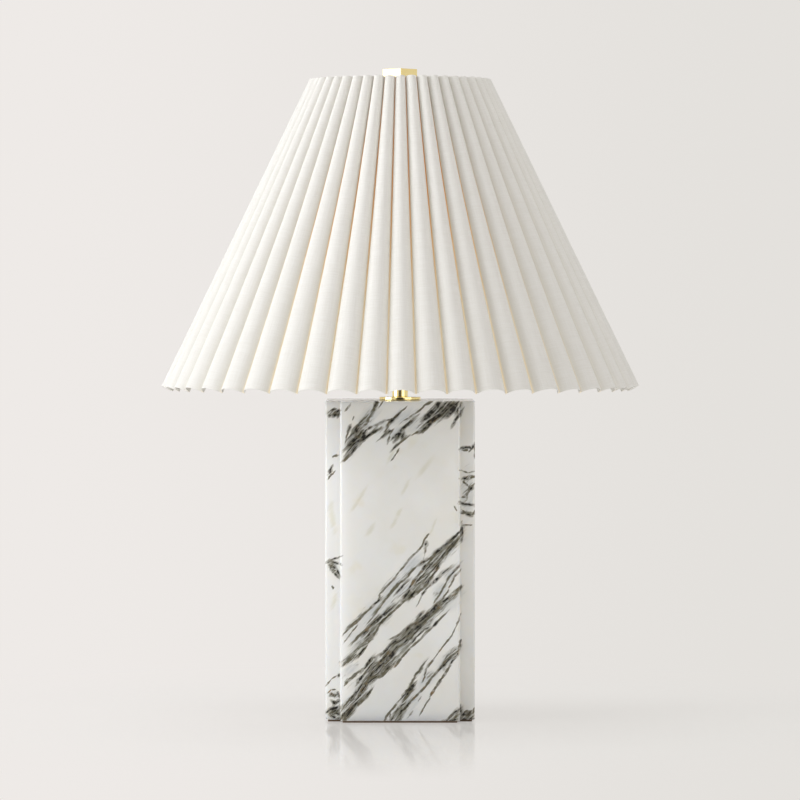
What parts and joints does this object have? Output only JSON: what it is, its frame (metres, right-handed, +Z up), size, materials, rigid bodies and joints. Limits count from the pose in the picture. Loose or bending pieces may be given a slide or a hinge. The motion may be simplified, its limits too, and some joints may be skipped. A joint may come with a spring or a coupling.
{
  "type": "table lamp",
  "caption": "Table lamp: square notched marble column, brass neck and square finial, and a conical pleated linen shade that hangs on a harp over a screw-in bulb.",
  "frame": {"origin": "on the table, under the middle of the column", "axes": "+Z up along the column's and the shade's axis; -Y is the front, +Y is the side with the cord hole, +X is to the right seen from the front"},
  "size_m": [0.468, 0.468, 0.635],
  "materials": {
    "marble": "honed, grey and brown veins",
    "felt": "pressed felt",
    "polished_brass": "polished",
    "satin_brass": "satin",
    "nickel": "nickel plated",
    "zinc_steel": "zinc plated",
    "black_plastic": "moulded",
    "white_plastic": "moulded",
    "fibre": "pressed fibre",
    "frosted_glass": "frosted",
    "linen": "pleated linen, stiffened",
    "white_wire": "white paint"
  },
  "bodies": {
    "lamp_base": {"felt_pad": "felt", "marble_column": "marble", "base_plate": "zinc_steel", "base_washer": "zinc_steel", "base_nut": "zinc_steel", "cord_bushing": "black_plastic", "threaded_pipe": "zinc_steel", "brass_disc": "polished_brass", "brass_neck": "polished_brass", "harp_saddle": "satin_brass", "harp": "satin_brass", "harp_stud": "satin_brass", "socket_cap": "satin_brass", "socket_set_screw": "zinc_steel", "socket_shell": "satin_brass", "shell_insulator": "fibre", "socket_core": "black_plastic", "terminal_screws": "satin_brass", "screw_shell": "nickel", "centre_contact": "satin_brass"},
    "switch": {"switch_shaft": "zinc_steel", "switch_knob": "black_plastic"},
    "bulb": {"bulb_tip": "nickel", "bulb_insulator": "black_plastic", "bulb_screw_cap": "nickel", "bulb_housing": "white_plastic", "bulb_led_board": "white_plastic", "bulb_globe": "frosted_glass"},
    "left_sleeve": {"harp_sleeve_left": "satin_brass"},
    "right_sleeve": {"harp_sleeve_right": "satin_brass"},
    "shade": {"shade_cover": "linen", "shade_top_ring": "white_wire", "shade_bottom_ring": "white_wire", "shade_ribs": "white_wire", "spider_arms": "satin_brass", "spider_washer": "satin_brass"},
    "finial": {"finial": "polished_brass"}
  },
  "joints": [
    {"name": "switch_turn", "type": "hinge", "parent": "lamp_base", "child": "switch", "pos_m": [0, -0.026, 0.3625], "axis": [0, 1, 0], "continuous": true},
    {"name": "bulb_screw", "type": "hinge", "parent": "lamp_base", "child": "bulb", "pos_m": [0, 0, 0.395], "axis": [0, 0, 1], "continuous": true},
    {"name": "left_sleeve_slide", "type": "slide", "parent": "lamp_base", "child": "left_sleeve", "axis": [0, 0, 1], "range_m": [0, 0.012]},
    {"name": "right_sleeve_slide", "type": "slide", "parent": "lamp_base", "child": "right_sleeve", "axis": [0, 0, 1], "range_m": [0, 0.012]},
    {"name": "shade_swivel", "type": "hinge", "parent": "lamp_base", "child": "shade", "pos_m": [0, 0, 0.6095], "axis": [0, 0, 1], "continuous": true},
    {"name": "finial_screw", "type": "hinge", "parent": "lamp_base", "child": "finial", "pos_m": [0, 0, 0.623], "axis": [0, 0, 1], "continuous": true}
  ]
}
